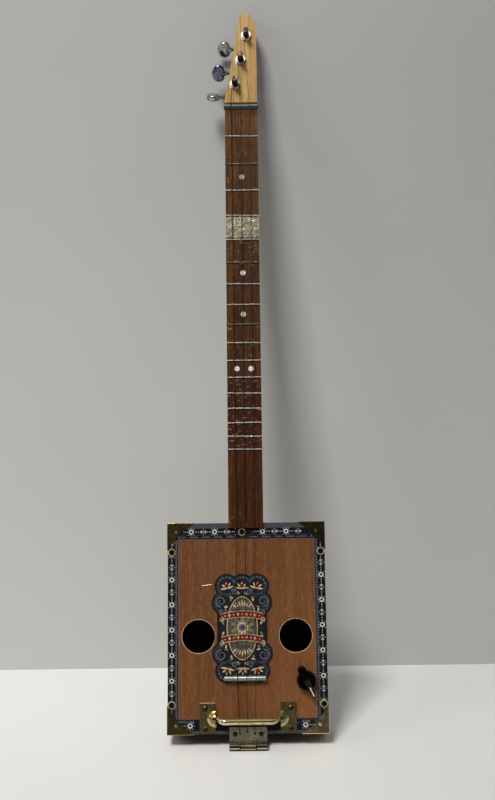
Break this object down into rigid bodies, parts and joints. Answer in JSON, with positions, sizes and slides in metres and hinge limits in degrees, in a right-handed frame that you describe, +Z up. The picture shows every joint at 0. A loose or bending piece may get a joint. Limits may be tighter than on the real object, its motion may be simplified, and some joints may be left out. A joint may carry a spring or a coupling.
{
  "type": "cigar box guitar",
  "caption": "Fretted string instrument made from a wooden cigar box with a stick neck, steel rod nut and bridge, side tuners, hinge tailpiece, chest handle and volume knob.",
  "frame": {"origin": "at the level of the tail hinge's lowest point, at the middle of the instrument's width and depth, which is where the mount upright_hold is", "axes": "+X to the right as seen from the front, +Y towards the back, +Z up along the neck to the headstock"},
  "size_m": [0.1738, 0.0654, 0.8477],
  "materials": {
    "headstock_wood": "oiled",
    "fretboard_wood": "satin stain",
    "fret_wire": "polished wire",
    "dot_pearl": "pearly, satin",
    "foil": "crinkled, satin",
    "steel_rod": "threadless bright rod",
    "box_wood": "satin varnish",
    "border_print": "printed, slightly glossy",
    "label_print": "printed, slightly glossy",
    "staple_wire": "zinc plated",
    "aged_brass": "aged and polished",
    "nail_brass": "aged",
    "screw_brass": "aged",
    "hinge_nickel": "dull nickel plate",
    "screw_steel": "zinc plated",
    "knob_plastic": "glossy",
    "pointer_white": "flat",
    "set_screw_steel": "blackened",
    "pot_metal": "plated",
    "piezo_brass": "bright",
    "jack_nickel": "nickel plated",
    "lead_insulation": "satin",
    "string_bronze": "wound",
    "string_steel": "plain",
    "tuner_chrome": "polished",
    "worm_steel": "machined, oiled"
  },
  "bodies": {
    "guitar": {"neck": "headstock_wood", "fretboard": "fretboard_wood", "frets": "fret_wire", "position_dots": "dot_pearl", "fifth_fret_plate": "foil", "nut_rod": "steel_rod", "bridge_rod": "steel_rod", "box_left_wall": "box_wood", "box_right_wall": "box_wood", "box_neck_wall": "box_wood", "box_tail_wall": "box_wood", "back_panel": "box_wood", "front_panel": "box_wood", "border_paper": "border_print", "face_label": "label_print", "face_staple": "staple_wire", "box_corners": "aged_brass", "handle_plate_left": "aged_brass", "handle_plate_right": "aged_brass", "corner_nails": "nail_brass", "handle_screws": "nail_brass", "panel_screws": "screw_brass", "panel_cup_washers": "screw_brass", "tail_hinge_front_leaf": "hinge_nickel", "tail_hinge_rear_leaf": "hinge_nickel", "tail_hinge_pin": "hinge_nickel", "tail_hinge_screws": "screw_steel", "tuner_mount_screws": "screw_steel", "volume_pot_case": "pot_metal", "volume_pot_nut": "pot_metal", "piezo_disc": "piezo_brass", "output_jack": "jack_nickel", "output_jack_nut": "jack_nickel", "internal_leads": "lead_insulation", "string_bass": "string_bronze", "string_middle": "string_steel", "string_treble": "string_steel", "tuner_base_plates": "tuner_chrome", "tuner_bushings": "tuner_chrome", "tuner_washers": "tuner_chrome", "tuner_housing_1": "tuner_chrome", "tuner_housing_2": "tuner_chrome", "tuner_housing_3": "tuner_chrome"},
    "peg_1": {"tuner_worm_1": "worm_steel", "tuner_button_1": "tuner_chrome"},
    "post_1": {"tuner_post_1": "tuner_chrome", "string_wrap_1": "string_bronze"},
    "peg_2": {"tuner_worm_2": "worm_steel", "tuner_button_2": "tuner_chrome"},
    "post_2": {"tuner_post_2": "tuner_chrome", "string_wrap_2": "string_steel"},
    "peg_3": {"tuner_worm_3": "worm_steel", "tuner_button_3": "tuner_chrome"},
    "post_3": {"tuner_post_3": "tuner_chrome", "string_wrap_3": "string_steel"},
    "volume_knob": {"volume_knob": "knob_plastic", "knob_pointer_line": "pointer_white", "knob_set_screw": "set_screw_steel", "volume_pot_shaft": "pot_metal"},
    "handle_bail": {"handle_bail": "aged_brass"}
  },
  "joints": [
    {"name": "peg_1_turn", "type": "hinge", "parent": "guitar", "child": "peg_1", "pos_m": [-0.0069, 0.0044, 0.7486], "axis": [1, 0, 0], "continuous": true},
    {"name": "post_1_turn", "type": "hinge", "parent": "guitar", "child": "post_1", "pos_m": [-0.0069, -0.0135, 0.7556], "axis": [0, -1, 0], "continuous": true},
    {"name": "peg_2_turn", "type": "hinge", "parent": "guitar", "child": "peg_2", "pos_m": [0, 0.0044, 0.7795], "axis": [1, 0, 0], "continuous": true},
    {"name": "post_2_turn", "type": "hinge", "parent": "guitar", "child": "post_2", "pos_m": [0, -0.0135, 0.7865], "axis": [0, -1, 0], "continuous": true},
    {"name": "peg_3_turn", "type": "hinge", "parent": "guitar", "child": "peg_3", "pos_m": [0.0069, 0.0044, 0.8104], "axis": [1, 0, 0], "continuous": true},
    {"name": "post_3_turn", "type": "hinge", "parent": "guitar", "child": "post_3", "pos_m": [0.0069, -0.0135, 0.8174], "axis": [0, -1, 0], "continuous": true},
    {"name": "volume_turn", "type": "hinge", "parent": "guitar", "child": "volume_knob", "pos_m": [0.0627, -0.0167, 0.0703], "axis": [0, -1, 0], "range_deg": [0, 300]},
    {"name": "bail_swing", "type": "hinge", "parent": "guitar", "child": "handle_bail", "pos_m": [0, -0.0204, 0.0317], "axis": [-1, 0, 0], "range_deg": [0, 45]}
  ],
  "couplings": [
    {"joint": "post_1_turn", "follows": "peg_1_turn", "ratio": 0.071429},
    {"joint": "post_2_turn", "follows": "peg_2_turn", "ratio": 0.071429},
    {"joint": "post_3_turn", "follows": "peg_3_turn", "ratio": 0.071429}
  ]
}
